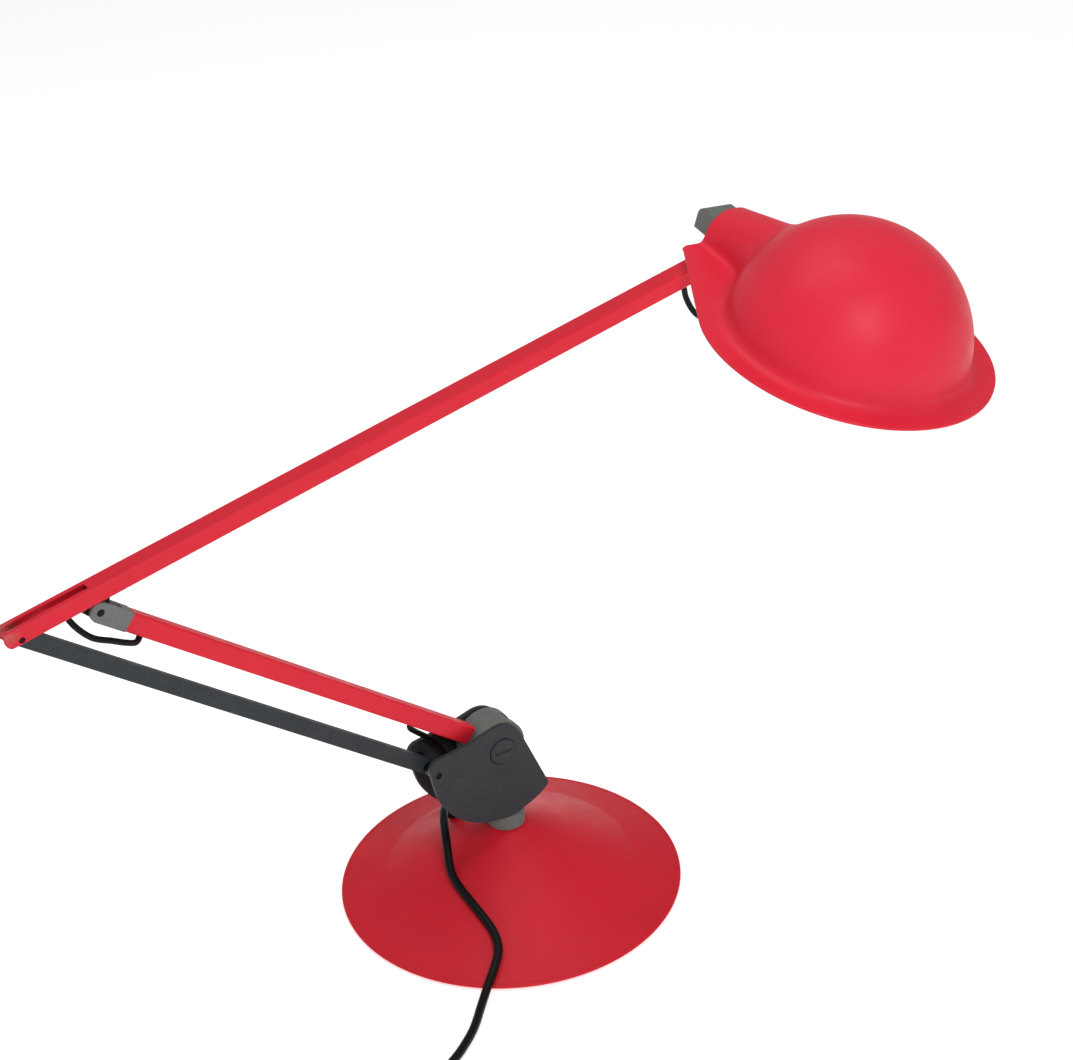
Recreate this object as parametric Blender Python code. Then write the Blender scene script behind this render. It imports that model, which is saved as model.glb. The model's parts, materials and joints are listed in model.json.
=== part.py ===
"""Architect desk lamp: a weighted round base, a knuckle with two parallel-linked arms, and a domed shade.

Lengths are in millimetres in this script and are scaled to metres as each mesh is made.
The frame: origin under the middle of the base, +Z up, the arms in the XZ plane, the elbow towards -X.
"""
import math

import bmesh
import bpy
from mathutils import Matrix, Vector

for old in list(bpy.data.objects):
    bpy.data.objects.remove(old, do_unlink=True)

MM = 0.001
GAP = 0.3                      # between pieces that touch
SLIP = 0.3                     # around a pin in its hole

# ---- driving dimensions ----
BASE_R = 120.0                 # rim of the round base
CREASE_R, CREASE_Z = 88.0, 13.0
CONE_R, CONE_Z = 14.0, 52.0    # flat top of the cone, under the collar
SHEET = 1.6                    # pressed sheet of the base
COLLAR_R, COLLAR_TOP = 13.0, 63.0

PIVOT = Vector((-8.0, 0.0, 122.0))      # main pivot, under the tension screw
KNUCKLE_R = 54.7               # round underside of the cheeks, about the main pivot
CHEEK_IN, CHEEK_OUT = 12.3, 15.3
DRUM_R, DRUM_Y = 20.4, 11.2
AXLE_R = 4.0

LINK = 50.3                    # distance between the two pivots at each end of the linkage
LINK_TILT = 2.0                # degrees by which the outer pivot stands above the main one
LOWER_LENGTH, LOWER_ANGLE = 333.0, 38.64
LOWER_W, LOWER_H, LOWER_WALL = 10.0, 13.0, 1.3
BAR_W, BAR_H = 5.0, 11.0

UPPER_ANGLE = 9.84
UPPER_W, UPPER_H, UPPER_WALL = 14.7, 11.0, 1.3
TAIL_ABOVE_BOTTOM = 3.0        # tail pin above the underside of the upper arm
TAIL_OVERHANG = 10.5
HEAD_X = 205.0                 # world x of the shade's swivel point

SHADE_NORMAL = Vector((0.165, -0.227, 0.960)).normalized()
SHADE_HEADING = 92.9           # degrees from +X of the neck's direction, seen from above
DOME_X = 118.5                 # dome centre from the swivel point
BRIM_R, DOME_FOOT_R, DOME_R = 96.8, 81.0, 79.0
SHADE_WALL = 1.6
NECK_END, NECK_HALF, NECK_RIDGE = -7.7, 20.3, 25.0
RIM_ABOVE_PIN = 1.6            # the shade's rim plane above the tilt pin
PIN_LEAN = 13.2                # degrees between the swivel pin and the shade's normal

CORD_D = 6.0
WIRE_D = 4.0
WIRE_R = WIRE_D / 2

COLOURS = {                    # linear base colour, roughness, metallic
    "red_paint": ((0.55, 0.022, 0.036), 0.45, 0.0),
    "dark_grey": ((0.050, 0.060, 0.062), 0.5, 0.0),
    "light_grey": ((0.15, 0.16, 0.15), 0.5, 0.0),
    "steel": ((0.55, 0.55, 0.55), 0.3, 1.0),
    "iron": ((0.12, 0.12, 0.12), 0.7, 1.0),
    "felt": ((0.02, 0.02, 0.02), 0.95, 0.0),
    "black_plastic": ((0.015, 0.015, 0.015), 0.4, 0.0),
    "white_plastic": ((0.75, 0.74, 0.70), 0.5, 0.0),
    "brass": ((0.70, 0.52, 0.25), 0.3, 1.0),
    "glass": ((0.9, 0.9, 0.88), 0.15, 0.0),
}


# ---- making things ----
def material(name):
    mat = bpy.data.materials.get(name)
    if mat:
        return mat
    colour, rough, metal = COLOURS[name]
    mat = bpy.data.materials.new(name)
    mat.use_nodes = True
    shader = mat.node_tree.nodes["Principled BSDF"]
    shader.inputs["Base Color"].default_value = (*colour, 1.0)
    shader.inputs["Roughness"].default_value = rough
    shader.inputs["Metallic"].default_value = metal
    return mat


def pivot_empty(name, place, turn=None):
    """An empty on a joint's axis: the parent of what turns there."""
    empty = bpy.data.objects.new(name, None)
    bpy.context.collection.objects.link(empty)
    empty.matrix_world = Matrix.Translation(Vector(place) * MM) @ (turn or Matrix.Identity(4))
    return empty


def finish(name, bm, parent, mat, smooth=True):
    bmesh.ops.remove_doubles(bm, verts=bm.verts, dist=0.0005)
    bmesh.ops.recalc_face_normals(bm, faces=bm.faces)
    bmesh.ops.scale(bm, vec=(MM, MM, MM), verts=bm.verts)
    mesh = bpy.data.meshes.new(name)
    bm.to_mesh(mesh)
    bm.free()
    if smooth:
        mesh.shade_smooth()
        mesh.set_sharp_from_angle(angle=math.radians(35))
    obj = bpy.data.objects.new(name, mesh)
    bpy.context.collection.objects.link(obj)
    if mat:
        mesh.materials.append(material(mat))
    obj.parent = parent
    return obj


def prism(name, outline, y0, y1, parent, mat=None):
    """A closed outline in XZ, pushed along Y."""
    bm = bmesh.new()
    near = [bm.verts.new((x, y0, z)) for x, z in outline]
    far = [bm.verts.new((x, y1, z)) for x, z in outline]
    bm.faces.new(near)
    bm.faces.new(list(reversed(far)))
    count = len(outline)
    for i in range(count):
        j = (i + 1) % count
        bm.faces.new((near[i], far[i], far[j], near[j]))
    return finish(name, bm, parent, mat)


def box(name, x0, x1, y0, y1, z0, z1, parent, mat=None):
    return prism(name, [(x0, z0), (x1, z0), (x1, z1), (x0, z1)], y0, y1, parent, mat)


def turned(name, profile, parent, mat=None, steps=48, axis="Z", at=(0, 0, 0)):
    """A closed profile of (radius, height), turned about an axis through a point."""
    bm = bmesh.new()
    turn = {"Z": Matrix.Identity(3), "Y": Matrix.Rotation(-math.pi / 2, 3, "X"),
            "X": Matrix.Rotation(math.pi / 2, 3, "Y")}[axis]
    rings = []
    for k in range(steps):
        a = 2 * math.pi * k / steps
        rings.append([bm.verts.new(turn @ Vector((r * math.cos(a), r * math.sin(a), h)) + Vector(at))
                      for r, h in profile])
    count = len(profile)
    for k in range(steps):
        here, there = rings[k], rings[(k + 1) % steps]
        for i in range(count):
            j = (i + 1) % count
            if profile[i][0] == 0 and profile[j][0] == 0:
                continue
            corners = [here[i], there[i], there[j], here[j]]
            if profile[i][0] == 0:
                corners.remove(there[i])
            if profile[j][0] == 0:
                corners.remove(there[j])
            bm.faces.new(corners)
    return finish(name, bm, parent, mat)


def rod(name, radius, h0, h1, parent, mat=None, axis="Y", at=(0, 0, 0), steps=24):
    return turned(name, [(0, h0), (radius, h0), (radius, h1), (0, h1)], parent, mat, steps, axis, at)


def ring(name, r0, r1, h0, h1, parent, mat=None, axis="Y", at=(0, 0, 0), steps=32):
    return turned(name, [(r0, h0), (r1, h0), (r1, h1), (r0, h1)], parent, mat, steps, axis, at)


def arc(cx, cz, radius, start, stop, count):
    """Points on an arc, angles in degrees."""
    angles = [math.radians(start + (stop - start) * i / count) for i in range(count + 1)]
    return [(cx + radius * math.cos(a), cz + radius * math.sin(a)) for a in angles]


def combine(obj, other, operation):
    mod = obj.modifiers.new(operation.title(), "BOOLEAN")
    mod.operation = operation
    mod.object = other
    other.hide_render = True
    other.display_type = "WIRE"
    other.hide_set(True)


def cut(obj, *others):
    for other in others:
        combine(obj, other, "DIFFERENCE")


def join(obj, *others):
    for other in others:
        combine(obj, other, "UNION")


def hex_nut(name, radius, hole, h0, h1, parent, axis, at=(0, 0, 0)):
    nut = rod(name, radius, h0, h1, parent, "steel", axis, at, 6)
    cut(nut, rod(name + "_hole", hole, h0 - 2, h1 + 2, parent, None, axis, at, 28))
    return nut


def smooth_route(route, spacing):
    """Points at an even spacing on a Catmull-Rom curve through the route's points."""
    pts = [Vector(p) for p in route]
    pts = [2 * pts[0] - pts[1]] + pts + [2 * pts[-1] - pts[-2]]
    fine = []
    for a, b, c, d in zip(pts, pts[1:], pts[2:], pts[3:]):
        for k in range(24):
            t = k / 24
            fine.append(0.5 * (2 * b + (c - a) * t + (2 * a - 5 * b + 4 * c - d) * t * t
                               + (3 * b - a - 3 * c + d) * t ** 3))
    fine.append(pts[-2])
    length = sum((q - p).length for p, q in zip(fine, fine[1:]))
    count = max(2, round(length / spacing))
    out, run, want = [fine[0]], 0.0, length / count
    for p, q in zip(fine, fine[1:]):
        step = (q - p).length
        while run + step >= want * len(out) and len(out) < count:
            out.append(p.lerp(q, (want * len(out) - run) / step))
        run += step
    out.append(fine[-1])
    return out


def cable(name, route, diameter, mat, parent=None, spacing=2.5, sides=2):
    """A round cable: a poly curve with a bevel, read from a smooth curve through the route."""
    curve = bpy.data.curves.new(name, "CURVE")
    curve.dimensions = "3D"
    curve.bevel_depth = diameter / 2 * MM
    curve.bevel_resolution = sides
    curve.use_fill_caps = True
    points = smooth_route(route, spacing * diameter)
    spline = curve.splines.new("POLY")
    spline.points.add(len(points) - 1)
    for point, place in zip(spline.points, points):
        point.co = (*(place * MM), 1.0)
    obj = bpy.data.objects.new(name, curve)
    bpy.context.collection.objects.link(obj)
    curve.materials.append(material(mat))
    obj.parent = parent
    return obj


# ---- frames of the moving bodies ----
def in_plane(angle):
    """Local X leans up by this angle in the XZ plane."""
    return Matrix.Rotation(-math.radians(angle), 4, "Y")


def direction(angle):
    return Vector((math.cos(math.radians(angle)), 0.0, math.sin(math.radians(angle))))


outer = direction(180 - LINK_TILT) * LINK
ELBOW = PIVOT + direction(180 - LOWER_ANGLE) * LOWER_LENGTH
BAR_PIVOT = PIVOT + outer
TAIL = ELBOW + outer

swivel = pivot_empty("at_base_swivel", (0, 0, 0))
knuckle = pivot_empty("at_main_pivot_knuckle", PIVOT)
lower = pivot_empty("at_main_pivot_lower_arm", PIVOT, in_plane(-LOWER_ANGLE))
bar = pivot_empty("at_bar_pivot", BAR_PIVOT, in_plane(-LOWER_ANGLE))
upper = pivot_empty("at_elbow", ELBOW, in_plane(UPPER_ANGLE))

tail_local = in_plane(UPPER_ANGLE).to_3x3().inverted() @ outer
TAIL_X, TAIL_Z = tail_local.x, tail_local.z
ARM_BOTTOM = TAIL_Z - TAIL_ABOVE_BOTTOM
ARM_MID = ARM_BOTTOM + UPPER_H / 2
up_arm = direction(UPPER_ANGLE)
HEAD_RUN = (HEAD_X - ELBOW.x + ARM_MID * math.sin(math.radians(UPPER_ANGLE))) / up_arm.x
HEAD = ELBOW + up_arm * HEAD_RUN + direction(90 + UPPER_ANGLE) * ARM_MID

heading = Vector((math.cos(math.radians(SHADE_HEADING)), math.sin(math.radians(SHADE_HEADING)), 0.0))
neck_way = (heading - SHADE_NORMAL * heading.dot(SHADE_NORMAL)).normalized()
shade_x = -neck_way
shade_y = SHADE_NORMAL.cross(shade_x)
shade_turn = Matrix((shade_x, shade_y, SHADE_NORMAL)).transposed().to_4x4()
tilt = pivot_empty("at_head_tilt", HEAD)
SHADE_AT = HEAD + SHADE_NORMAL * RIM_ABOVE_PIN
shade = pivot_empty("at_head_swivel", SHADE_AT, shade_turn)


# ---- base ----
def slope(r):
    """Height of the base's outer surface at a radius."""
    if r < CREASE_R:
        return CONE_Z + (CREASE_Z - CONE_Z) * (r - CONE_R) / (CREASE_R - CONE_R)
    return CREASE_Z + (4.0 - CREASE_Z) * (r - CREASE_R) / (116.0 - CREASE_R)


SPINDLE_R = 6.0
base_shell = turned("base_shell", [
    (SPINDLE_R + 0.4, CONE_Z), (CONE_R, CONE_Z), (52.0, slope(52.0)), (CREASE_R, CREASE_Z), (116.0, 4.0),
    (119.0, 3.4), (BASE_R, 2.6), (119.6, 1.8), (118.2, 1.8), (115.4, 2.5), (CREASE_R - 0.6, CREASE_Z - SHEET),
    (CONE_R - 0.8, CONE_Z - SHEET), (SPINDLE_R + 0.4, CONE_Z - SHEET)], None, "red_paint", 72)
turned("foot_pad", [(0, 0), (112.5, 0), (113.0, 0.5), (113.0, 1.5), (0, 1.5)], None, "felt", 64)
turned("ballast_plate", [(17.0, 1.8), (111.5, 1.8), (111.5, 2.8), (86.0, 10.6), (17.0, 10.6)],
       None, "iron", 64)
turned("bearing_bush", [
    (SPINDLE_R + SLIP, 22.0), (11.0, 22.0), (11.0, 46.0), (12.4, 46.0), (12.4, CONE_Z - SHEET - GAP),
    (SPINDLE_R + SLIP, CONE_Z - SHEET - GAP)], None, "white_plastic", 36)

# cord gland: through the back of the cone, leaning round towards the front
GLAND_AT, GLAND_WAY = Vector((-12.0, 53.5, 33.4)), Vector((-0.50, -0.50, 0.707)).normalized()
GLAND_INSIDE, GLAND_OUTSIDE = 12.0, 20.0
GLAND_R = 5.6
gland_turn = GLAND_WAY.to_track_quat("Z", "Y").to_matrix().to_4x4()
gland_at = pivot_empty("at_cord_gland", GLAND_AT, gland_turn)
turned("cord_gland", [(0, -GLAND_INSIDE), (GLAND_R, -GLAND_INSIDE), (GLAND_R, 5.0), (4.1, GLAND_OUTSIDE - GAP),
                      (0, GLAND_OUTSIDE - GAP)], gland_at, "black_plastic", 20)
cut(base_shell, rod("gland_hole", GLAND_R + GAP, -GLAND_INSIDE - 3, 30.0, gland_at, axis="Z", steps=20))

# ---- swivel post ----
post = turned("swivel_post", [
    (0, 6.0), (SPINDLE_R, 6.0), (SPINDLE_R, CONE_Z + GAP), (COLLAR_R, CONE_Z + GAP),
    (COLLAR_R, COLLAR_TOP - 1.2), (COLLAR_R - 1.2, COLLAR_TOP), (0, COLLAR_TOP)], swivel, "light_grey", 48)
TONGUE_Y = 4.2
tongue = prism("tongue", [(-7.0, 60.0), (7.0, 60.0)] + [
    (PIVOT.x + x, PIVOT.z + z) for x, z in arc(0, 0, 9.0, 0, 180, 14)], -TONGUE_Y, TONGUE_Y, swivel)
join(post, tongue)
cut(post, rod("post_axle_hole", AXLE_R + SLIP, -20, 20, swivel, at=PIVOT))
hex_nut("spindle_nut", 11.5, SPINDLE_R + GAP, 12.0, 17.5, swivel, "Z")
ring("thrust_washer", SPINDLE_R + GAP, 12.5, 18.0, 20.5, swivel, "steel", "Z")

pivot_at = dict(at=PIVOT)
axle = turned("pivot_axle", [(0, -13.2), (AXLE_R, -13.2), (AXLE_R, 24.0), (0, 24.0)],
              swivel, "steel", 28, "Y", PIVOT)
cut(axle, rod("axle_thread", 2.3, -20, 0, swivel, steps=16, **pivot_at))
ring("spring_washer", AXLE_R + GAP, 9.0, 15.7, 17.2, swivel, "steel", **pivot_at)
hex_nut("axle_nut", 8.2, AXLE_R + GAP, 17.5, 22.3, swivel, "Y", PIVOT)

# ---- knuckle: two cheeks and the pieces between them ----
SLOPE_TOP, SLOPE_WAY = Vector((12.9, 14.9)), Vector((0.367, -0.930))


def slope_point(run, inset=0.0):
    point = SLOPE_TOP + SLOPE_WAY * run + Vector((-0.930, -0.367)) * inset
    return (point.x, point.y)


CHEEK = (arc(0, 0, KNUCKLE_R, -52.4, -172, 30) + arc(-49.6, 6.6, 7.4, 178, 98, 6) + [(-26.0, 16.0)]
         + arc(-2.4, 1.9, 19.0, 107, 21.5, 10) + arc(31.1, -40.4, 3.6, 21.5, -52.4, 6))
PIN_R = 2.2
CAP_R = 9.6
for side, name in ((-1, "near_cheek"), (1, "far_cheek")):
    y0, y1 = sorted((side * CHEEK_IN, side * CHEEK_OUT))
    cheek = prism(name, CHEEK, y0, y1, knuckle, "dark_grey")
    cut(cheek, rod(name + "_axle_hole", AXLE_R + SLIP, -20, 20, knuckle),
        rod(name + "_pin_hole", PIN_R + SLIP, -20, 20, knuckle, at=outer))
    if side < 0:
        cut(cheek, rod("screw_seat", CAP_R + 0.4, -CHEEK_OUT - 2, -CHEEK_OUT + 1.5, knuckle, steps=40))
prism("knuckle_bridge", [slope_point(25), slope_point(44), slope_point(44, 2.6), slope_point(25, 2.6)],
      -CHEEK_IN + GAP, CHEEK_IN - GAP, knuckle, "dark_grey")
rod("bar_pin", PIN_R, -CHEEK_OUT + 1.2, CHEEK_OUT - 1.2, knuckle, "steel", at=outer)
for side, name in ((-1, "near_bar_spacer"), (1, "far_bar_spacer")):
    h0, h1 = sorted((side * (BAR_W / 2 + GAP), side * (CHEEK_IN - GAP)))
    ring(name, PIN_R + GAP, 4.6, h0, h1, knuckle, "black_plastic", at=outer, steps=20)
for side, name in ((-1, "near_friction_washer"), (1, "far_friction_washer")):
    h0, h1 = sorted((side * (DRUM_Y + 0.25), side * (CHEEK_IN - 0.25)))
    ring(name, AXLE_R + SLIP, 14.0, h0, h1, knuckle, "black_plastic")

screw = pivot_empty("at_tension_screw", PIVOT)
tension = turned("tension_screw", [
    (0, -CHEEK_OUT - 1.4), (CAP_R - 1.0, -CHEEK_OUT - 1.4), (CAP_R, -CHEEK_OUT - 0.6),
    (CAP_R, -CHEEK_OUT + 1.2),
    (2.0, -CHEEK_OUT + 1.2), (2.0, -4.0), (0, -4.0)], screw, "dark_grey", 40, "Y")
cut(tension, box("screw_slot", -6.4, 6.4, -20.0, -CHEEK_OUT - 0.4, -0.9, 0.9, screw))

# ---- lower arm ----
TUBE_START, TUBE_STOP = -(DRUM_R + 1.5), -(LOWER_LENGTH - 22.0)
inner_end = ring("lower_arm_inner_end", AXLE_R + SLIP, DRUM_R, -DRUM_Y, DRUM_Y, lower, "light_grey", steps=64)
throat = TONGUE_Y + 0.4
# the drum is forked for the post's tongue, but closed over the top from the arm round to the back
bridge_arc = (arc(0, 0, 13.6, 180 + 30, 180 - 85, 16) + arc(0, 0, DRUM_R + 3, 180 - 85, 180 + 30, 16))
fork_slot = prism("fork_slot_shape", arc(0, 0, DRUM_R + 2, 0, 352.5, 47), -throat, throat, lower)
cut(fork_slot, prism("fork_bridge", bridge_arc, -throat - 1, throat + 1, lower))
cut(inner_end, fork_slot)
plug_w, plug_h = LOWER_W / 2 - LOWER_WALL - GAP, LOWER_H / 2 - LOWER_WALL - GAP
join(inner_end, box("inner_plug", -38.0, -15.2, -plug_w, plug_w, -plug_h, plug_h, lower))


def square_tube(name, x0, x1, w, h, wall, parent, mat, z_mid=0.0):
    """A square tube along local X with small outer corner chamfers."""
    c = 1.0
    shape = [(-w / 2, -h / 2 + c), (-w / 2 + c, -h / 2), (w / 2 - c, -h / 2), (w / 2, -h / 2 + c),
             (w / 2, h / 2 - c), (w / 2 - c, h / 2), (-w / 2 + c, h / 2), (-w / 2, h / 2 - c)]
    bm = bmesh.new()
    loops = [[bm.verts.new((x, y, z + z_mid)) for y, z in shape] for x in (x0, x1)]
    bm.faces.new(loops[0])
    bm.faces.new(list(reversed(loops[1])))
    for i in range(8):
        j = (i + 1) % 8
        bm.faces.new((loops[0][i], loops[0][j], loops[1][j], loops[1][i]))
    tube = finish(name, bm, parent, mat)
    inner = box(name + "_bore", min(x0, x1) - 5, max(x0, x1) + 5, -w / 2 + wall, w / 2 - wall,
                z_mid - h / 2 + wall, z_mid + h / 2 - wall, parent)
    cut(tube, inner)
    return tube


lower_tube = square_tube("lower_arm_tube", TUBE_STOP, TUBE_START, LOWER_W, LOWER_H, LOWER_WALL,
                         lower, "red_paint")
FORK_R, FORK_Y, LUG_Y = 6.7, 5.9, 2.8
elbow_x = -LOWER_LENGTH
fork = prism("lower_arm_fork", arc(elbow_x, 0, FORK_R, 90, 270, 14)
             + [(TUBE_STOP - GAP, -LOWER_H / 2), (TUBE_STOP - GAP, LOWER_H / 2)],
             -FORK_Y, FORK_Y, lower, "light_grey")
join(fork, box("fork_plug", TUBE_STOP - 2.0, TUBE_STOP + 8.0, -plug_w, plug_w, -plug_h, plug_h, lower))
cut(fork, box("fork_throat", elbow_x - 10, elbow_x + 14.0, -LUG_Y - GAP, LUG_Y + GAP, -10, 10, lower),
    rod("fork_pin_hole", PIN_R + SLIP, -10, 10, lower, at=(elbow_x, 0, 0)))
rod("elbow_pin", PIN_R, -FORK_Y + 0.6, FORK_Y - 0.6, lower, "steel", at=(elbow_x, 0, 0))

# ---- parallel bar ----
link = prism("parallel_bar", arc(-LOWER_LENGTH, 0, BAR_H / 2, 90, 270, 12) + arc(0, 0, BAR_H / 2, -90, 90, 12),
             -BAR_W / 2, BAR_W / 2, bar, "dark_grey")
cut(link, rod("bar_hole", PIN_R + SLIP, -5, 5, bar, steps=20),
    rod("bar_tail_hole", 2.6, -5, 5, bar, at=(-LOWER_LENGTH, 0, 0), steps=20))

# ---- upper arm ----
ARM_END = HEAD_RUN - 20.0
END_W, END_H = 12.4, 9.4       # the grey fork at the arm's far end
arm_top = ARM_BOTTOM + UPPER_H
tail_end = TAIL_X - TAIL_OVERHANG
arm = square_tube("upper_arm_tube", tail_end - 8, ARM_END, UPPER_W, UPPER_H, UPPER_WALL,
                  upper, "red_paint", ARM_MID)
SLOT_Y = BAR_W / 2 + 0.6
cut(arm, box("tail_slot", tail_end - 9, TAIL_X + 48.0, -SLOT_Y, SLOT_Y, ARM_MID, arm_top + 3, upper),
    box("bar_slot", tail_end - 9, TAIL_X + 24.0, -SLOT_Y, SLOT_Y, ARM_BOTTOM - 3, ARM_MID + 0.1, upper))
# rounded tail
tail_round = (arc(TAIL_X - 3.4, TAIL_Z + 3.4, 6.8, 262, 118, 12) + [(TAIL_X, arm_top + 4)]
              + [(tail_end - 20, arm_top + 4), (tail_end - 20, ARM_BOTTOM - 4), (TAIL_X, ARM_BOTTOM - 4)])
cut(arm, prism("tail_trim", tail_round, -12, 12, upper),
    rod("tail_pin_hole", 1.8 + SLIP, -12, 12, upper, at=(TAIL_X, 0, TAIL_Z), steps=20))
rod("tail_pin", 1.8, -UPPER_W / 2 + 0.6, UPPER_W / 2 - 0.6, upper, "steel", at=(TAIL_X, 0, TAIL_Z), steps=20)

lug = prism("elbow_lug", [(-11.5, ARM_BOTTOM - GAP), (-5.4, -2.0)] + arc(0, 0, 5.8, 200, 340, 10)
            + [(5.4, -2.0), (10.5, ARM_BOTTOM - GAP)], -LUG_Y, LUG_Y, upper, "black_plastic")
cut(lug, rod("lug_pin_hole", PIN_R + SLIP, -10, 10, upper))

# fork at the arm's far end, holding the tilt pin
TILT_R, STEM_R = 4.6, 3.4
STEM_TOP, RING_SEAT = 22.4, 18.4
insert_w, insert_h = UPPER_W / 2 - UPPER_WALL - GAP, UPPER_H / 2 - UPPER_WALL - GAP
end_fork = prism("arm_end_fork", [(ARM_END + GAP, ARM_MID - END_H / 2)]
                 + arc(HEAD_RUN, ARM_MID, END_H / 2, -90, 90, 12) + [(ARM_END + GAP, ARM_MID + END_H / 2)],
                 -END_W / 2, END_W / 2, upper, "dark_grey")
join(end_fork, box("end_plug", ARM_END - 16, ARM_END + 3, -insert_w, insert_w,
                   ARM_MID - insert_h, ARM_MID + insert_h, upper))
cut(end_fork, box("end_throat", HEAD_RUN - 6.8, HEAD_RUN + 10, -4.0, 4.0, ARM_MID - 9, ARM_MID + 9, upper),
    rod("tilt_pin_hole", 2.0 + SLIP, -10, 10, upper, at=(HEAD_RUN, 0, ARM_MID), steps=20))
rod("tilt_pin", 2.0, -END_W / 2 + 0.6, END_W / 2 - 0.6, upper, "steel", at=(HEAD_RUN, 0, ARM_MID), steps=20)

# ---- head joint: a barrel on the tilt pin, with the shade's swivel pin on top ----
lean = math.radians(PIN_LEAN)
pin_way = (SHADE_NORMAL * math.cos(lean) + neck_way * math.sin(lean)).normalized()
pin_turn = pin_way.to_track_quat("Z", "Y").to_matrix().to_4x4()
stem_at = pivot_empty("at_swivel_pin", HEAD, pin_turn)
barrel = ring("swivel_stem", 2.0 + SLIP, TILT_R, -3.6, 3.6, tilt, "light_grey", steps=28)
join(barrel, rod("stem_shaft", STEM_R, 3.4, STEM_TOP, stem_at, axis="Z", steps=24))
ring("stem_retaining_ring", STEM_R + GAP, 6.2, RING_SEAT + GAP, RING_SEAT + 1.3,
     stem_at, "steel", "Z", steps=24)

# ---- shade, in its own frame: X from the swivel pin to the dome, Z up through the dome ----
half_ear, ear_x = 39.4, -4.4
tangent = 72.0
brim_start = math.degrees(math.atan2(84.6, tangent - DOME_X))


def keyhole(inset=0.0):
    """Plan outline of brim and neck flange, as (x, y)."""
    r = BRIM_R - inset
    round_part = arc(DOME_X, 0, r, brim_start, -brim_start, 44)
    return [(ear_x + 1.2, half_ear - inset)] + round_part + [(ear_x + 1.2, -half_ear + inset),
            (NECK_END, -half_ear + 4 + inset), (NECK_END, half_ear - 4 - inset)]


def plate(name, outline, z0, z1, parent, mat=None):
    bm = bmesh.new()
    low = [bm.verts.new((x, y, z0)) for x, y in outline]
    high = [bm.verts.new((x, y, z1)) for x, y in outline]
    bm.faces.new(low)
    bm.faces.new(list(reversed(high)))
    for i in range(len(outline)):
        j = (i + 1) % len(outline)
        bm.faces.new((low[i], high[i], high[j], low[j]))
    return finish(name, bm, parent, mat)


def neck_solid(name, inset, x0, x1, floor):
    """The tapering arch of the neck, as a loft of arched sections."""
    bm = bmesh.new()
    sections = []
    for k in range(9):
        x = x0 + (x1 - x0) * k / 8
        rise = NECK_RIDGE + (x - NECK_END) * 18.5 / 60 - inset
        half = NECK_HALF + 0.5 * (x - NECK_END) / 60 - inset
        ring_pts = [(half, floor)]
        for i in range(17):
            a = math.pi * i / 16
            ca, sa = math.cos(a), math.sin(a)
            ring_pts.append((half * math.copysign(abs(ca) ** 0.75, ca), max(rise * sa ** 0.75, floor + 0.5)))
        ring_pts.append((-half, floor))
        sections.append([bm.verts.new((x, y, z)) for y, z in ring_pts])
    bm.faces.new(sections[0])
    bm.faces.new(list(reversed(sections[-1])))
    for here, there in zip(sections, sections[1:]):
        for i in range(len(here)):
            j = (i + 1) % len(here)
            bm.faces.new((here[i], here[j], there[j], there[i]))
    return finish(name, bm, shade, None)


def dome_profile(radius, foot):
    pts = [(radius * math.cos(a), 1.3 + radius * math.sin(a))
           for a in [math.radians(90 * i / 13) for i in range(13)]]
    return [(0, foot), (pts[0][0], foot)] + pts + [(0, 1.3 + radius)]


shell = plate("shade_shell", keyhole(), 0.0, SHADE_WALL, shade, "red_paint")
join(shell, turned("dome_body", dome_profile(DOME_R, 0.2), shade, None, 52, at=(DOME_X, 0, 0)),
     neck_solid("neck_body", 0.0, NECK_END, 62.0, 0.2))
cut(shell, turned("dome_hollow", dome_profile(DOME_R - SHADE_WALL, -5.0), shade, None, 52, at=(DOME_X, 0, 0)),
    neck_solid("neck_hollow", SHADE_WALL, NECK_END - 8, 64.0, -5.0))

# neck block: carries the swivel pin, the lamp holder and the switch
block = prism("neck_block", [(NECK_END + 0.5, 7.2), (19.0, 7.2)] + arc(16.0, 16.6, 3.0, 0, 90, 4)
              + arc(NECK_END + 3.6, 16.6, 3.0, 90, 180, 4), -11.0, 11.0, shade, "light_grey")
join(block, prism("block_tail", [(-27.5, 1.2), (-15.5, 1.2), (-12.0, 7.4), (0, 7.4), (0, 17.4)]
                  + arc(-21.5, 11.4, 6.0, 90, 180, 8), -12.0, 12.0, shade))
cut(block, rod("block_pin_hole", STEM_R + SLIP, 0, 40, stem_at, axis="Z", steps=24),
    rod("stem_ring_seat", 6.9, RING_SEAT, 40.0, stem_at, axis="Z", steps=24),
    box("switch_seat", -30, -24.3, -7.3, 7.3, 4.2, 12.4, shade))
prism("switch_rocker", [(-28.6, 11.9), (-28.0, 8.3), (-28.6, 4.7), (-25.2, 4.7), (-24.9, 8.3), (-25.2, 11.9)],
      -6.9, 6.9, shade, "black_plastic")

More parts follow.
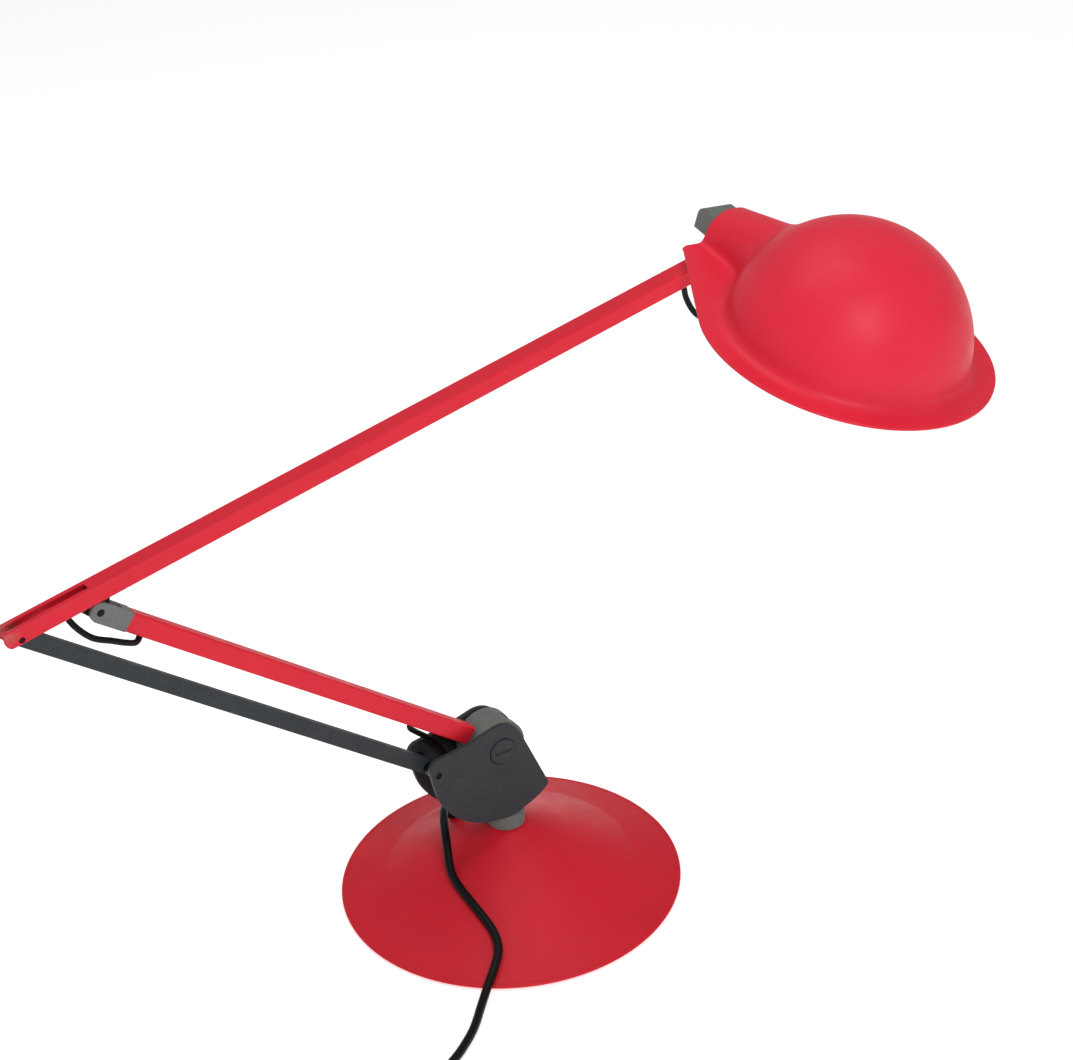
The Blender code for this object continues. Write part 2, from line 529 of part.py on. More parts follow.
# lamp holder and bulb, leaning up towards the middle of the dome
holder_turn = shade_turn @ Matrix.Rotation(math.radians(90 - 8), 4, "Y")
holder_place = SHADE_AT + shade_turn.to_3x3() @ Vector((20.5, 0, 17.0))
holder_at = pivot_empty("at_lamp_holder", holder_place, holder_turn)
turned("lamp_holder", [
    (0, 0.4), (9.0, 0.4), (13.2, 4.0), (13.2, 38.0), (12.4, 40.0), (7.4, 40.0), (7.4, 18.0), (0, 18.0)],
    holder_at, "white_plastic", 32)
cut(bpy.data.objects["lamp_holder"],
    rod("holder_cable_hole", WIRE_R + 0.5, 4.0, 16.0, holder_at, axis="X", at=(0, 0, 9.0), steps=16))
turned("bulb_cap", [(0, 19.0), (3.0, 19.0), (6.9, 22.5), (6.9, 40.5), (0, 40.5)], holder_at, "brass", 24)
bulb_r, bulb_mid = 22.5, 66.0
globe = [(bulb_r * math.sin(a), bulb_mid - bulb_r * math.cos(a))
         for a in [math.radians(28 + 152 * i / 14) for i in range(14)]]
turned("bulb_glass", [(0, 40.8), (8.6, 40.8)] + globe + [(0, bulb_mid + bulb_r)], holder_at, "glass", 32)

# ---- inner cables, where they leave one arm and enter the next ----
def spot(empty, x, y, z):
    """A point of a body's own frame, in the world."""
    return (empty.matrix_world @ (Vector((x, y, z)) * MM)) / MM


for tube, parent, x, z in ((arm, upper, -18.5, ARM_BOTTOM), (arm, upper, HEAD_RUN - 42.0, ARM_BOTTOM),
                           (lower_tube, lower, -297.0, -LOWER_H / 2), (lower_tube, lower, -71.0, -LOWER_H / 2)):
    cut(tube, rod(tube.name + "_cable_hole", WIRE_R + 1.3, -3.0, 3.0, parent, axis="Z", at=(x, 0, z), steps=16))
cable("elbow_cable", [spot(upper, -18.5, 0, ARM_MID), spot(upper, -18.6, 0, ARM_BOTTOM - 3), (-285.4, -3.0, 319.4),
                      (-276.5, -5.4, 312.8), (-265.0, -6.0, 308.4), (-256.0, -5.4, 303.6), (-248.6, -3.4, 300.6),
                      spot(lower, -297.0, 0, -5.6), spot(lower, -295.6, 0, -1.8)],
      WIRE_D, "black_plastic", spacing=1.5)
cut(post, rod("post_cable_hole", WIRE_R + 0.5, 56.0, 70.0, swivel, axis="Z", at=(-6.4, 6.7, 0), steps=16))
cable("knuckle_cable", [spot(lower, -72.4, 0, -2.0), spot(lower, -70.8, 0, -LOWER_H / 2 - 2.0),
                        (-61.8, 4.2, 150.6), (-50.6, 6.4, 138.8), (-41.0, 7.2, 124.0), (-32.5, 7.8, 107.0),
                        (-22.5, 8.2, 91.0),
                        (-12.0, 7.8, 77.0), (-7.0, 7.0, 67.0), (-6.4, 6.7, 57.0)], WIRE_D, "black_plastic")
cable("head_cable", [spot(upper, HEAD_RUN - 42.0, 0, ARM_MID + 1), spot(upper, HEAD_RUN - 41.8, 0, ARM_BOTTOM - 3),
                     (167.0, -0.4, 400.0), (172.6, -2.4, 388.6), (182.6, -8.0, 380.4), (195.0, -17.0, 378.8),
                     (204.4, -25.6, 386.2), (207.6, -30.4, 398.6), spot(shade, 32.8, 0, -6.0),
                     spot(shade, 31.5, 0, 3.0), spot(shade, 30.7, 0, 9.2)], WIRE_D, "black_plastic")

# ---- power cord: down the cone, over the rim, and along the table to its coil ----
REST = CORD_D / 2 + 0.12
CONE_LEAN = math.cos(math.atan2(CONE_Z - CREASE_Z, CREASE_R - CONE_R))


def lying(x, y, lift=0.0):
    """A point of the cord's centre line, lying on the base or on the table."""
    r = math.hypot(x, y)
    rest = slope(r) + REST / CONE_LEAN if r < 113 else REST
    return (x, y, rest + lift)


gland_end = GLAND_AT + GLAND_WAY * GLAND_OUTSIDE
power_route = [gland_end + GLAND_WAY * 0.6, (-25.4, 39.8, 51.7), (-28.7, 35.6, 54.5), (-32.0, 30.9, 56.2),
               (-35.3, 25.8, 56.7), (-38.4, 20.6, 56.0), (-41.2, 15.5, 54.1), (-43.6, 10.6, 51.1),
               (-46.2, 5.2, 46.9), lying(-52.0, -8.0, 0.9), lying(-54.0, -22.0), lying(-54.0, -36.0),
               lying(-53.4, -50.0), lying(-53.4, -63.0, 0.1), lying(-57.6, -74.8, 0.6),
               lying(-66.4, -84.0, 0.9), lying(-77.6, -92.6, 3.4), lying(-90.0, -103.6, 0.6),
               lying(-106.0, -119.4), lying(-121.0, -130.6), lying(-133.0, -137.6), lying(-146.0, -143.2),
               lying(-160.5, -147.2)]
cable("power_cord", power_route, CORD_D, "black_plastic")
COIL_X, COIL_Y, COIL_IN, COIL_OUT, COIL_H = -178.0, -196.0, 20.8, 48.2, 12.2
turned("cord_coil", [(COIL_IN + 1, 0.2), (COIL_OUT - 1, 0.2), (COIL_OUT, 2.0), (COIL_OUT, 5.0),
                     (COIL_OUT - 3, COIL_H), (COIL_IN + 3, COIL_H), (COIL_IN, 5.0), (COIL_IN, 2.0)],
       None, "black_plastic", 36, at=(COIL_X, COIL_Y, 0))
TAIL_TURN = 45.0               # radius of the coil's last turn, on top
tail_y = COIL_Y + TAIL_TURN
PLUG_Z, PLUG_X = 6.9, -256.0
cable("cord_end", [(COIL_X - 29, tail_y, 7.2), (COIL_X - 40, tail_y - 0.2, 4.8), (COIL_X - 52, tail_y - 0.6, 3.4),
                   (COIL_X - 64, tail_y - 1.0, 4.4), (PLUG_X + 5, tail_y - 1.2, PLUG_Z - 0.3),
                   (PLUG_X, tail_y - 1.2, PLUG_Z)], CORD_D, "black_plastic")

# ---- two-pin plug, lying flat at the cord's end ----
plug_at = pivot_empty("at_plug", (PLUG_X - GAP - 0.2, tail_y - 1.2, PLUG_Z), Matrix.Rotation(-math.pi / 2, 4, "Y"))
turned("plug_relief", [(0, 0), (4.2, 0), (5.2, 20.0), (0, 20.0)], plug_at, "black_plastic", 20)
body_x = PLUG_X - 20.9
prism("plug_body", [(body_x, 1.4), (body_x, PLUG_Z + 5.5), (body_x - 3, PLUG_Z + 6.6), (body_x - 32, PLUG_Z + 6.6),
                    (body_x - 35, PLUG_Z + 5.6), (body_x - 35, 1.4), (body_x - 32, 0.3), (body_x - 3, 0.3)],
             tail_y - 14.2, tail_y + 11.8, None, "black_plastic")
for side, name in ((-1, "plug_pin_left"), (1, "plug_pin_right")):
    rod(name, 2.0, 35.3 + 20.6, 35.3 + 20.6 + 17.0, plug_at, "brass", "Z", (0, side * 9.0, 0), 16)
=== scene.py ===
"""The looks of the architect desk lamp: camera, cords, fine surfaces, materials and studio light.

The frame is the CAD's: origin under the middle of the base, +Z up, elbow towards -X. Camera, finishes,
bevels and lights are in metres. Profiles, routes and the shade's field are in millimetres, which MM scales.
"""
import json
import math

import bmesh
import bpy
import numpy as np
from mathutils import Matrix, Vector

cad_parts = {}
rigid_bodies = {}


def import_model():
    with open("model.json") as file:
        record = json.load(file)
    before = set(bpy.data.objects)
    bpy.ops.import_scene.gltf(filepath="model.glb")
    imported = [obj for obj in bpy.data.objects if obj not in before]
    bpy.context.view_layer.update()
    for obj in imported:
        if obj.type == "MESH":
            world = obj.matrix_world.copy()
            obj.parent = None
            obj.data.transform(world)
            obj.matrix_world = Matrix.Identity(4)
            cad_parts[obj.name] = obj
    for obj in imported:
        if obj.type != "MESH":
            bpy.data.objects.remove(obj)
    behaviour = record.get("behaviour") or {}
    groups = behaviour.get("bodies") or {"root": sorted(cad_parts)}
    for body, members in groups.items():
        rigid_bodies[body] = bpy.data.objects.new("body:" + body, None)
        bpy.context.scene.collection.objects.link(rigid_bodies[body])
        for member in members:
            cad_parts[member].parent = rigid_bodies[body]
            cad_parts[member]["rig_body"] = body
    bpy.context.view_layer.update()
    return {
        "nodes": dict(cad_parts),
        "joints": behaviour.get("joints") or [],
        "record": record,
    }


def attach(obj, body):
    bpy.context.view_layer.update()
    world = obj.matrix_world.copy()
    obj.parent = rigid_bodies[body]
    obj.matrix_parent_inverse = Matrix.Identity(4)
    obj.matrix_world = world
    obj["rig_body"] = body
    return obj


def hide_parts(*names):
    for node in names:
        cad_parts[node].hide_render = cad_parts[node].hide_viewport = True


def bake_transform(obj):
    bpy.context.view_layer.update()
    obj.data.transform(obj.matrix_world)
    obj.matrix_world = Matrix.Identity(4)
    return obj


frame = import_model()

MM = 0.001
nodes = frame["nodes"]
joints = {j["name"]: j for j in frame["joints"]}
node_slot = {s["node"]: s["material_slot"] for s in frame["record"]["subparts"]}


# ---------------------------------------------------------------- camera
CAMERA_ANGLES = (-31.57, 30.02, -3.77)         # azimuth, elevation and roll, in degrees
CAMERA_PLACE = (-0.69525, -1.19651, 1.08238)
LENS, SENSOR = 82.43, 36.0


def make_camera():
    azimuth, elevation, roll = (math.radians(a) for a in CAMERA_ANGLES)
    back = Vector((math.sin(azimuth) * math.cos(elevation), -math.cos(azimuth) * math.cos(elevation),
                   math.sin(elevation)))
    level_right = Vector((math.cos(azimuth), math.sin(azimuth), 0.0))
    level_up = back.cross(level_right)
    right = level_right * math.cos(roll) + level_up * math.sin(roll)
    up = level_up * math.cos(roll) - level_right * math.sin(roll)
    data = bpy.data.cameras.new("view")
    data.lens = LENS
    data.sensor_width = SENSOR
    data.clip_end = 50.0
    camera = bpy.data.objects.new("view", data)
    bpy.context.scene.collection.objects.link(camera)
    turn = Matrix((right, up, back)).transposed().to_4x4()
    camera.matrix_world = Matrix.Translation(CAMERA_PLACE) @ turn
    bpy.context.scene.camera = camera


make_camera()


# ---------------------------------------------------------------- node materials
class Shader:
    """A Principled material with the few nodes that every finish here is made of."""

    def __init__(self, name):
        self.mat = bpy.data.materials.new(name)
        self.mat.use_nodes = True
        self.tree = self.mat.node_tree
        self.main = self.tree.nodes["Principled BSDF"]
        self.place = self.add("ShaderNodeTexCoord").outputs["Object"]

    def add(self, kind, **settings):
        node = self.tree.nodes.new(kind)
        for key, value in settings.items():
            setattr(node, key, value)
        return node

    def link(self, out, into):
        self.tree.links.new(out, into)

    def value(self, socket, number):
        self.main.inputs[socket].default_value = number

    def noise(self, scale, detail=3.0, rough=0.5, stretch=None):
        node = self.add("ShaderNodeTexNoise")
        node.inputs["Scale"].default_value = scale
        node.inputs["Detail"].default_value = detail
        node.inputs["Roughness"].default_value = rough
        source = self.place
        if stretch:
            mapping = self.add("ShaderNodeMapping")
            mapping.inputs["Scale"].default_value = stretch
            self.link(source, mapping.inputs["Vector"])
            source = mapping.outputs["Vector"]
        self.link(source, node.inputs["Vector"])
        return node.outputs["Fac"]

    def spread(self, fac, low, high, start=0.3, stop=0.7):
        node = self.add("ShaderNodeMapRange")
        for key, number in (("From Min", start), ("From Max", stop), ("To Min", low), ("To Max", high)):
            node.inputs[key].default_value = number
        self.link(fac, node.inputs["Value"])
        return node.outputs["Result"]

    def blend(self, fac, colour_a, colour_b):
        node = self.add("ShaderNodeMix", data_type="RGBA")
        self.link(fac, node.inputs[0])
        for socket, colour in ((node.inputs[6], colour_a), (node.inputs[7], colour_b)):
            if isinstance(colour, tuple):
                socket.default_value = (*colour, 1.0)
            else:
                self.link(colour, socket)
        return node.outputs[2]

    def height(self, fac, depth, below=None):
        node = self.add("ShaderNodeBump")
        node.inputs["Distance"].default_value = depth
        node.inputs["Strength"].default_value = 1.0
        self.link(fac, node.inputs["Height"])
        if below:
            self.link(below, node.inputs["Normal"])
        return node.outputs["Normal"]

    def colour(self, out):
        self.link(out, self.main.inputs["Base Color"])

    def roughness(self, out):
        self.link(out, self.main.inputs["Roughness"])

    def normal(self, out):
        self.link(out, self.main.inputs["Normal"])


def enamel(name, colour, shade, rough=(0.40, 0.50), peel=0.000022, gloss=0.22):
    """Stove-enamelled steel: fine grain, a faint orange-peel, and slightly uneven colour."""
    s = Shader(name)
    cloud = s.spread(s.noise(26.0, 4.0), 0.0, 1.0)
    grain = s.spread(s.noise(1500.0, 2.0), 0.0, 0.55)
    base = s.blend(cloud, colour, shade)
    s.colour(s.blend(grain, base, tuple(min(1.0, c * 1.14 + 0.004) for c in colour)))
    s.roughness(s.spread(s.noise(60.0, 3.0), *rough))
    peel_bump = s.height(s.noise(420.0, 2.0), peel)
    s.normal(s.height(s.noise(1900.0, 1.0), peel * 0.35, peel_bump))
    s.value("Specular IOR Level", gloss)
    return s


def grey_patch_enamel(name, colour, shade, where, reach, patch_colour):
    """Enamel mixed in noisy patches towards another colour around one place of the object."""
    s = enamel(name, colour, shade)
    near = s.add("ShaderNodeVectorMath", operation="DISTANCE")
    near.inputs[1].default_value = where
    s.link(s.place, near.inputs[0])
    fade = s.spread(near.outputs["Value"], 1.0, 0.0, reach * 0.25, reach)
    patch = s.spread(s.noise(160.0, 5.0, 0.65), 0.0, 1.0, 0.38, 0.62)
    both = s.add("ShaderNodeMath", operation="MULTIPLY")
    s.link(fade, both.inputs[0])
    s.link(patch, both.inputs[1])
    old = s.main.inputs["Base Color"].links[0].from_socket
    s.colour(s.blend(both.outputs[0], old, patch_colour))
    return s


def matt_paint(name, colour, light):
    """Matt grey paint with a fine textured grain."""
    s = Shader(name)
    grain = s.spread(s.noise(1100.0, 3.0, 0.6), 0.0, 1.0, 0.35, 0.75)
    cloud = s.spread(s.noise(45.0, 3.0), 0.0, 0.4)
    base = s.blend(cloud, colour, tuple(c * 0.82 for c in colour))
    s.colour(s.blend(grain, base, light))
    s.roughness(s.spread(s.noise(90.0, 3.0), 0.48, 0.62))
    s.normal(s.height(s.noise(900.0, 3.0, 0.6), 0.00004))
    s.value("Specular IOR Level", 0.25)
    return s


def plated(name, colour, rough=0.26):
    """Zinc or nickel plating with faint turning marks."""
    s = Shader(name)
    s.colour(s.blend(s.spread(s.noise(180.0, 4.0), 0.0, 1.0), colour, tuple(c * 0.78 for c in colour)))
    s.roughness(s.spread(s.noise(300.0, 4.0), rough, rough + 0.16))
    s.normal(s.height(s.noise(700.0, 2.0, 0.5, (1.0, 6.0, 1.0)), 0.000012))
    s.value("Metallic", 1.0)
    return s


def cast_iron(name):
    s = Shader(name)
    s.colour(s.blend(s.spread(s.noise(220.0, 5.0), 0.0, 1.0), (0.10, 0.095, 0.09), (0.05, 0.045, 0.042)))
    s.roughness(s.spread(s.noise(140.0, 4.0), 0.6, 0.85))
    s.normal(s.height(s.noise(520.0, 5.0), 0.0002))
    s.value("Metallic", 0.85)
    return s


def foot_felt(name):
    s = Shader(name)
    fibres = s.spread(s.noise(900.0, 5.0, 0.7), 0.0, 1.0)
    s.colour(s.blend(fibres, (0.018, 0.018, 0.019), (0.05, 0.05, 0.05)))
    s.normal(s.height(s.noise(1200.0, 5.0, 0.75), 0.0002))
    s.value("Roughness", 0.95)
    s.value("Sheen Weight", 0.2)
    return s


def moulded(name, colour, rough=0.38, grain=0.000015):
    """Moulded plastic or PVC with a soft skin."""
    s = Shader(name)
    cloud = s.spread(s.noise(120.0, 4.0), 0.0, 1.0)
    s.colour(s.blend(cloud, colour, tuple(c * 0.8 + 0.001 for c in colour)))
    s.roughness(s.spread(s.noise(260.0, 4.0), rough - 0.06, rough + 0.1))
    s.normal(s.height(s.noise(1300.0, 3.0), grain))
    s.value("Specular IOR Level", 0.16)
    return s


def frosted_glass(name):
    s = Shader(name)
    s.colour(s.blend(s.spread(s.noise(60.0, 3.0), 0.0, 1.0), (0.93, 0.93, 0.91), (0.88, 0.88, 0.86)))
    s.roughness(s.spread(s.noise(500.0, 3.0), 0.16, 0.26))
    s.normal(s.height(s.noise(900.0, 2.0), 0.000008))
    s.value("Subsurface Weight", 0.5)
    s.value("Subsurface Radius", (0.006, 0.006, 0.006))
    s.value("Coat Weight", 0.6)
    s.value("Coat Roughness", 0.05)
    return s


# One red enamel at three brightnesses, as painted light and shade: RED, for the shade and the other red
# parts, is the lightest, ARM_RED for the arms is darker, and the base's red is the darkest.
RED, DEEP_RED = (0.74, 0.022, 0.048), (0.68, 0.017, 0.040)
ARM_RED, ARM_DEEP = (0.66, 0.013, 0.030), (0.60, 0.010, 0.026)
GREY, GREY_FLECK = (0.022, 0.027, 0.031), (0.040, 0.047, 0.052)
MID_GREY, MID_FLECK = (0.125, 0.132, 0.122), (0.18, 0.19, 0.18)

TAIL_FROM_ELBOW = Vector((-0.0503, 0.0, 0.0018))
# a greyish patch painted on top of the tail end of the upper arm
PATCH_FROM_TAIL, PATCH_REACH, PATCH_COLOUR = Vector((-0.012, 0.0, 0.010)), 0.016, (0.34, 0.20, 0.16)
tail_pivot = Vector(joints["elbow_hinge"]["pos_m"]) + TAIL_FROM_ELBOW
finish = {
    "red_paint": enamel("red_enamel", RED, DEEP_RED).mat,
    "dark_grey": matt_paint("charcoal_paint", GREY, GREY_FLECK).mat,
    "light_grey": matt_paint("mid_grey_paint", MID_GREY, MID_FLECK).mat,
    "steel": plated("zinc_plate", (0.62, 0.62, 0.61)).mat,
    "iron": cast_iron("ballast_iron").mat,
    "felt": foot_felt("foot_felt").mat,
    "black_plastic": moulded("black_pvc", (0.003, 0.003, 0.0035)).mat,
    "white_plastic": moulded("off_white_plastic", (0.74, 0.72, 0.66), 0.45).mat,
    "brass": plated("brass_plain", (0.72, 0.53, 0.24), 0.22).mat,
    "glass": frosted_glass("opal_glass").mat,
}
# the base's copy of the red enamel, darker as painted shade
base_red = enamel("base_enamel", (0.62, 0.011, 0.025), (0.56, 0.008, 0.021)).mat
# the arms' copy of the red enamel, darker as painted shade
arm_red = enamel("arm_enamel", ARM_RED, ARM_DEEP).mat
tail_red = grey_patch_enamel("upper_arm_enamel", ARM_RED, ARM_DEEP, tail_pivot + PATCH_FROM_TAIL, PATCH_REACH,
                       PATCH_COLOUR).mat
shade_inside = enamel("white_inside_enamel", (0.82, 0.81, 0.78), (0.78, 0.77, 0.74), (0.3, 0.4)).mat
pin_black = moulded("pin_black", (0.006, 0.006, 0.006), 0.5).mat


# ---------------------------------------------------------------- shapes
def add_object(name, mesh, material):
    obj = bpy.data.objects.new(name, mesh)
    bpy.context.scene.collection.objects.link(obj)
    mesh.materials.clear()
    mesh.materials.append(material)
    return obj


def evaluated(obj):
    bpy.context.view_layer.update()
    depsgraph = bpy.context.evaluated_depsgraph_get()
    return bpy.data.meshes.new_from_object(obj.evaluated_get(depsgraph))


def hand_over(obj, node, extra=()):
    """The piece rides on its node's body and stands for it."""
    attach(obj, nodes[node]["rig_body"])
    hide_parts(node, *extra)
    return obj


def smooth_by_angle(mesh, degrees=35):
    mesh.shade_smooth()
    mesh.set_sharp_from_angle(angle=math.radians(degrees))


def round_edges(obj, width, segments=2, degrees=28):
    bevel = obj.modifiers.new("round", "BEVEL")
    bevel.width = width
    bevel.segments = segments
    bevel.limit_method = "ANGLE"
    bevel.angle_limit = math.radians(degrees)
    bevel.miter_outer = "MITER_ARC"
    weighted = obj.modifiers.new("normals", "WEIGHTED_NORMAL")
    weighted.keep_sharp = True


def refine(node, width=0.0004, segments=2, material=None):
    """A copy of a CAD node with its edges rounded over."""
    bm = bmesh.new()
    bm.from_mesh(nodes[node].data)
    bmesh.ops.remove_doubles(bm, verts=bm.verts, dist=0.000002)
    bmesh.ops.dissolve_limit(bm, angle_limit=math.radians(0.4), verts=bm.verts, edges=bm.edges)
    mesh = bpy.data.meshes.new(node + "_fine")
    bm.to_mesh(mesh)
    bm.free()
    smooth_by_angle(mesh)
    obj = add_object(node + "_fine", mesh, material or finish[node_slot[node]])
    round_edges(obj, width, segments)
    return hand_over(obj, node)


def turned(name, profile, material, place=Matrix.Identity(4), steps=128, degrees=35):
    """A closed profile of (radius, height) in millimetres, turned about the place's Z axis."""
    bm = bmesh.new()
    rings = []
    for k in range(steps):
        a = 2 * math.pi * k / steps
        rings.append([bm.verts.new((r * math.cos(a), r * math.sin(a), h)) for r, h in profile])
    for here, there in zip(rings, rings[1:] + rings[:1]):
        for i in range(len(profile)):
            j = (i + 1) % len(profile)
            if profile[i][0] or profile[j][0]:
                bm.faces.new((here[i], there[i], there[j], here[j]))
    bmesh.ops.remove_doubles(bm, verts=bm.verts, dist=0.0005)
    bmesh.ops.recalc_face_normals(bm, faces=bm.faces)
    bmesh.ops.transform(bm, matrix=place @ Matrix.Scale(MM, 4), verts=bm.verts)
    mesh = bpy.data.meshes.new(name)
    bm.to_mesh(mesh)
    bm.free()
    smooth_by_angle(mesh, degrees)
    return add_object(name, mesh, material)


def rounded(points, radius, count=4):
    """The closed profile with its convex and concave corners rounded to about a radius."""
    out = []
    total = len(points)
    for i, here in enumerate(points):
        before, after = Vector(points[i - 1]), Vector(points[(i + 1) % total])
        here = Vector(here)
        if here.x == 0:
            out.append(tuple(here))
            continue
        to_before, to_after = (before - here), (after - here)
        pull = min(radius, to_before.length * 0.45, to_after.length * 0.45)
        start, stop = here + to_before.normalized() * pull, here + to_after.normalized() * pull
        for k in range(count + 1):
            t = k / count
            out.append(tuple(start * (1 - t) ** 2 + here * 2 * t * (1 - t) + stop * t ** 2))
    return out


def in_plane(angle):
    return Matrix.Rotation(-math.radians(angle), 4, "Y")


LOWER_ANGLE, UPPER_ANGLE = 38.64, 9.84
main_pivot = Vector(joints["lower_arm_swing"]["pos_m"])
elbow = Vector(joints["elbow_hinge"]["pos_m"])
head_pivot = Vector(joints["head_tilt"]["pos_m"])
lower_frame = Matrix.Translation(main_pivot) @ in_plane(-LOWER_ANGLE)
upper_frame = Matrix.Translation(elbow) @ in_plane(UPPER_ANGLE)


def spot(place, x, y, z):
    """A point given in a body's own frame in millimetres, in world millimetres."""
    return (place @ (Vector((x, y, z)) * MM)) / MM


# the shade's own frame: X towards the dome, Z up through it
SHADE_NORMAL = Vector((0.165, -0.227, 0.960)).normalized()
SHADE_HEADING = math.radians(92.9)
RIM_ABOVE_PIN = 1.6
heading = Vector((math.cos(SHADE_HEADING), math.sin(SHADE_HEADING), 0.0))
neck_way = (heading - SHADE_NORMAL * heading.dot(SHADE_NORMAL)).normalized()
shade_x = -neck_way
shade_turn = Matrix((shade_x, SHADE_NORMAL.cross(shade_x), SHADE_NORMAL)).transposed().to_4x4()
shade_frame = Matrix.Translation(head_pivot + SHADE_NORMAL * RIM_ABOVE_PIN * MM) @ shade_turn


# ---------------------------------------------------------------- cords
def smooth_route(route, spacing):
    """Points at an even spacing on a Catmull-Rom curve through the route's points."""
    pts = [Vector(p) for p in route]
    pts = [2 * pts[0] - pts[1]] + pts + [2 * pts[-1] - pts[-2]]
    steps = 24
    fine = []
    for a, b, c, d in zip(pts, pts[1:], pts[2:], pts[3:]):
        for k in range(steps):
            t = k / steps
            fine.append(0.5 * (2 * b + (c - a) * t + (2 * a - 5 * b + 4 * c - d) * t * t
                               + (3 * b - a - 3 * c + d) * t ** 3))
    fine.append(pts[-2])
    length = sum((q - p).length for p, q in zip(fine, fine[1:]))
    count = max(2, round(length / spacing))
    out, run, want = [fine[0]], 0.0, length / count
    for p, q in zip(fine, fine[1:]):
        step = (q - p).length
        while run + step >= want * len(out) and len(out) < count:
            out.append(p.lerp(q, (want * len(out) - run) / step))
        run += step
    out.append(fine[-1])
    return out


def cable(name, points, diameter, sides=4):
    """A round cable along points in millimetres."""
    curve = bpy.data.curves.new(name, "CURVE")
    curve.dimensions = "3D"
    curve.bevel_depth = diameter / 2 * MM
    curve.bevel_resolution = sides
    curve.use_fill_caps = True
    spline = curve.splines.new("POLY")
    spline.points.add(len(points) - 1)
    for point, place in zip(spline.points, points):
        point.co = (*(Vector(place) * MM), 1.0)
    spline.use_smooth = True
    obj = bpy.data.objects.new(name, curve)
    bpy.context.scene.collection.objects.link(obj)
    curve.materials.append(finish["black_plastic"])
    return obj


CORD_D = 6.0
REST = CORD_D / 2 + 0.12
CONE_R, CONE_Z, CREASE_R, CREASE_Z = 14.0, 52.0, 88.0, 13.0
RIM_R, RIM_Z = 116.0, 4.0
FOOT_REACH = 113               # the cord lies on the base within this radius, and on the table beyond it
CONE_LEAN = math.cos(math.atan2(CONE_Z - CREASE_Z, CREASE_R - CONE_R))


def slope(r):
    """Height of the base's outer surface at a radius, in millimetres."""
    if r < CREASE_R:
        return CONE_Z + (CREASE_Z - CONE_Z) * (r - CONE_R) / (CREASE_R - CONE_R)
    return CREASE_Z + (RIM_Z - CREASE_Z) * (r - CREASE_R) / (RIM_R - CREASE_R)


def lying(x, y, lift=0.0):
    """A point of the cord's centre line, lying on the base or on the table."""
    r = math.hypot(x, y)
    rest = slope(r) + REST / CONE_LEAN if r < FOOT_REACH else REST
    return (x, y, rest + lift)


GLAND_AT, GLAND_WAY = Vector((-12.0, 53.5, 33.4)), Vector((-0.50, -0.50, 0.707)).normalized()
GLAND_INSIDE, GLAND_OUTSIDE, GLAND_R = 12.0, 20.0, 5.6
gland_end = GLAND_AT + GLAND_WAY * GLAND_OUTSIDE
power_route = [gland_end + GLAND_WAY * 0.6, (-25.4, 39.8, 51.7), (-28.7, 35.6, 54.5), (-32.0, 30.9, 56.2),
               (-35.3, 25.8, 56.7), (-38.4, 20.6, 56.0), (-41.2, 15.5, 54.1), (-43.6, 10.6, 51.1),
               (-46.2, 5.2, 46.9), lying(-52.0, -8.0, 0.9), lying(-54.0, -22.0), lying(-54.0, -36.0),
               lying(-53.4, -50.0), lying(-53.4, -63.0, 0.1), lying(-57.6, -74.8, 0.6),
               lying(-66.4, -84.0, 0.9), lying(-77.6, -92.6, 3.4), lying(-90.0, -103.6, 0.6),
               lying(-106.0, -119.4), lying(-121.0, -130.6), lying(-133.0, -137.6), lying(-146.0, -143.2),
               lying(-160.5, -147.2)]
COIL_X, COIL_Y = -178.0, -196.0
COIL_TURNS, OUTER_TURN, INNER_TURN = 7, 45.0, 24.0
LAYER_Z = (REST, REST + CORD_D + 0.1)
TAIL_Y = COIL_Y + OUTER_TURN
PLUG_Z, PLUG_X = 6.9, -256.0


def coil_points():
    """Two layers of turns: in along the table, then out again on top of them."""
    steps_each = 28
    total = COIL_TURNS * steps_each
    points = []
    for k in range(total + 1):
        share = k / total
        swing = 2 * math.pi * k / steps_each + math.pi / 2
        inward = 1.0 - abs(2 * share - 1.0)
        radius = OUTER_TURN + (INNER_TURN - OUTER_TURN) * inward
        climb = min(1.0, max(0.0, (k - total / 2 + steps_each / 4) / (steps_each / 2)))
        z = LAYER_Z[0] + (LAYER_Z[1] - LAYER_Z[0]) * climb * climb * (3 - 2 * climb)
        points.append((COIL_X + radius * math.cos(swing), COIL_Y + radius * math.sin(swing), z))
    return points


tail_route = [(COIL_X - 29, TAIL_Y, 7.2), (COIL_X - 40, TAIL_Y - 0.2, 4.8),
              (COIL_X - 52, TAIL_Y - 0.6, 3.4), (COIL_X - 64, TAIL_Y - 1.0, 4.4),
              (PLUG_X + 5, TAIL_Y - 1.2, PLUG_Z - 0.3), (PLUG_X, TAIL_Y - 1.2, PLUG_Z)]
power_cord = cable("mains_lead", smooth_route(power_route + coil_points()[:-1] + tail_route, 4.0), CORD_D)

plug_place = Vector((PLUG_X - 0.5, TAIL_Y - 1.2, PLUG_Z))
plug_frame = Matrix.Translation(plug_place * MM) @ Matrix.Rotation(-math.pi / 2, 4, "Y")


def boot_profile(start, stop, r0, r1, ribs, depth):
    """A tapering boot with soft ribs between two heights."""
    profile = [(0, start), (r0, start)]
    count = ribs * 8
    for k in range(count + 1):
        t = k / count
        wave = depth * (0.5 - 0.5 * math.cos(2 * math.pi * ribs * t))
        profile.append((r0 + (r1 - r0) * t - wave, start + 0.6 + (stop - start - 1.2) * t))
    return profile + [(r1, stop), (0, stop)]


